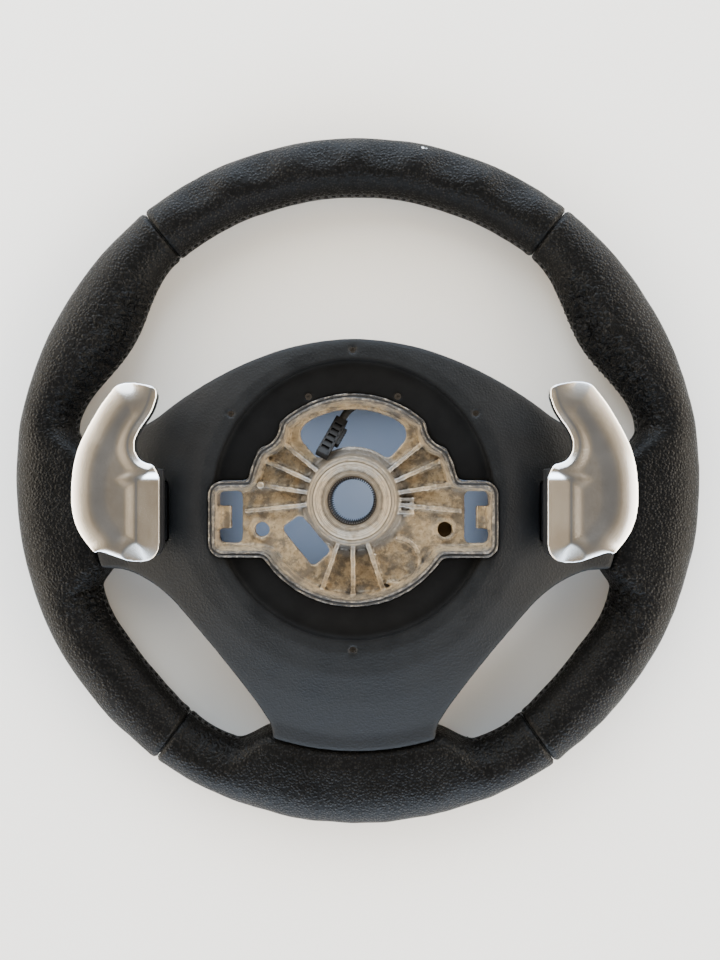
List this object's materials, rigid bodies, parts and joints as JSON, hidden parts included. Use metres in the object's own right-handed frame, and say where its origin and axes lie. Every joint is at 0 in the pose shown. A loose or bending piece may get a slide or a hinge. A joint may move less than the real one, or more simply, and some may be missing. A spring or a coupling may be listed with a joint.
{
  "type": "steering wheel",
  "caption": "Leather sports steering wheel with a column bore, open cast hub, shift paddles behind the rim and thumb controls in front.",
  "frame": {"origin": "centre of the hub bore at its mouth on the column side", "axes": "+Z along the column axis away from the driver, +Y to 12 o'clock, +X to the driver's left hand; the wheel lies on its driver side"},
  "size_m": [0.375, 0.375, 0.0632],
  "materials": {
    "black_leather": "smooth fine-grained leather, worn soft",
    "grained_plastic": "moulded plastic with fine leather grain",
    "black_plastic": "plain moulded black plastic",
    "key_rubber": "soft-touch keys",
    "satin_paddle": "satin silver",
    "satin_trim": "satin silver strip",
    "cast_aluminium": "die-cast, stained warm grey",
    "steel": "plain steel ring",
    "spring_steel": "drawn wire",
    "dark_screws": "blackened steel",
    "foam": "moulded foam",
    "circuit_board": "solder mask",
    "brass": "dull brass",
    "cable_tape": "woven harness tape"
  },
  "bodies": {
    "wheel": {"rim_skeleton": "steel", "rim_foam": "foam", "leather_top": "black_leather", "leather_right": "black_leather", "leather_bottom": "black_leather", "leather_left": "black_leather", "hub_casting": "cast_aluminium", "rear_cover": "grained_plastic", "front_trim": "grained_plastic", "lower_spoke_insert": "satin_trim", "cover_screws": "dark_screws", "recess_screws": "dark_screws", "paddle_housing_screws": "dark_screws", "module_case": "black_plastic", "module_lid": "black_plastic", "circuit_board": "circuit_board", "horn_contact": "brass", "airbag_retaining_springs": "spring_steel", "harness_loom": "cable_tape", "plug_lead": "cable_tape", "harness_clip": "black_plastic", "plug_housing": "black_plastic", "plug_latch": "black_plastic", "plug_terminals": "brass", "left_switch_pod": "black_plastic", "left_key_pins": "spring_steel", "right_switch_pod": "black_plastic", "right_key_pins": "spring_steel", "downshift_housing": "black_plastic", "downshift_microswitch": "black_plastic", "downshift_return_spring": "spring_steel", "downshift_pivot_pin": "spring_steel", "upshift_housing": "black_plastic", "upshift_microswitch": "black_plastic", "upshift_return_spring": "spring_steel", "upshift_pivot_pin": "spring_steel"},
    "downshift_lever": {"downshift_blade": "satin_paddle", "downshift_carrier": "black_plastic"},
    "upshift_lever": {"upshift_blade": "satin_paddle", "upshift_carrier": "black_plastic"},
    "left_rocker_key": {"left_rocker": "key_rubber"},
    "right_rocker_key": {"right_rocker": "key_rubber"},
    "left_push_button": {"left_button": "key_rubber"},
    "right_push_button": {"right_button": "key_rubber"},
    "left_thumb_roller": {"left_roller": "black_plastic"},
    "right_thumb_roller": {"right_roller": "black_plastic"}
  },
  "joints": [
    {"name": "downshift_pull", "type": "hinge", "parent": "wheel", "child": "downshift_lever", "pos_m": [0.103, -0.006, -0.014], "axis": [0, 1, 0], "range_deg": [0, 4], "stiffness_Nm_per_rad": 1.2, "springref_deg": -5.73},
    {"name": "upshift_pull", "type": "hinge", "parent": "wheel", "child": "upshift_lever", "pos_m": [-0.103, -0.006, -0.014], "axis": [0, -1, 0], "range_deg": [0, 4], "stiffness_Nm_per_rad": 1.2, "springref_deg": -5.73},
    {"name": "left_rocker_tilt", "type": "hinge", "parent": "wheel", "child": "left_rocker_key", "pos_m": [0.0955, 0, -0.0524], "axis": [1, 0, 0], "range_deg": [-3, 3], "stiffness_Nm_per_rad": 0.06},
    {"name": "left_button_press", "type": "slide", "parent": "wheel", "child": "left_push_button", "axis": [0, 0, 1], "range_m": [0, 0.001], "stiffness_N_per_m": 900, "springref_m": -0.0012},
    {"name": "left_roller_turn", "type": "hinge", "parent": "wheel", "child": "left_thumb_roller", "pos_m": [0.114, -0.008, -0.0524], "axis": [1, 0, 0], "continuous": true},
    {"name": "right_rocker_tilt", "type": "hinge", "parent": "wheel", "child": "right_rocker_key", "pos_m": [-0.0955, 0, -0.0524], "axis": [1, 0, 0], "range_deg": [-3, 3], "stiffness_Nm_per_rad": 0.06},
    {"name": "right_button_press", "type": "slide", "parent": "wheel", "child": "right_push_button", "axis": [0, 0, 1], "range_m": [0, 0.001], "stiffness_N_per_m": 900, "springref_m": -0.0012},
    {"name": "right_roller_turn", "type": "hinge", "parent": "wheel", "child": "right_thumb_roller", "pos_m": [-0.114, -0.008, -0.0524], "axis": [1, 0, 0], "continuous": true}
  ]
}
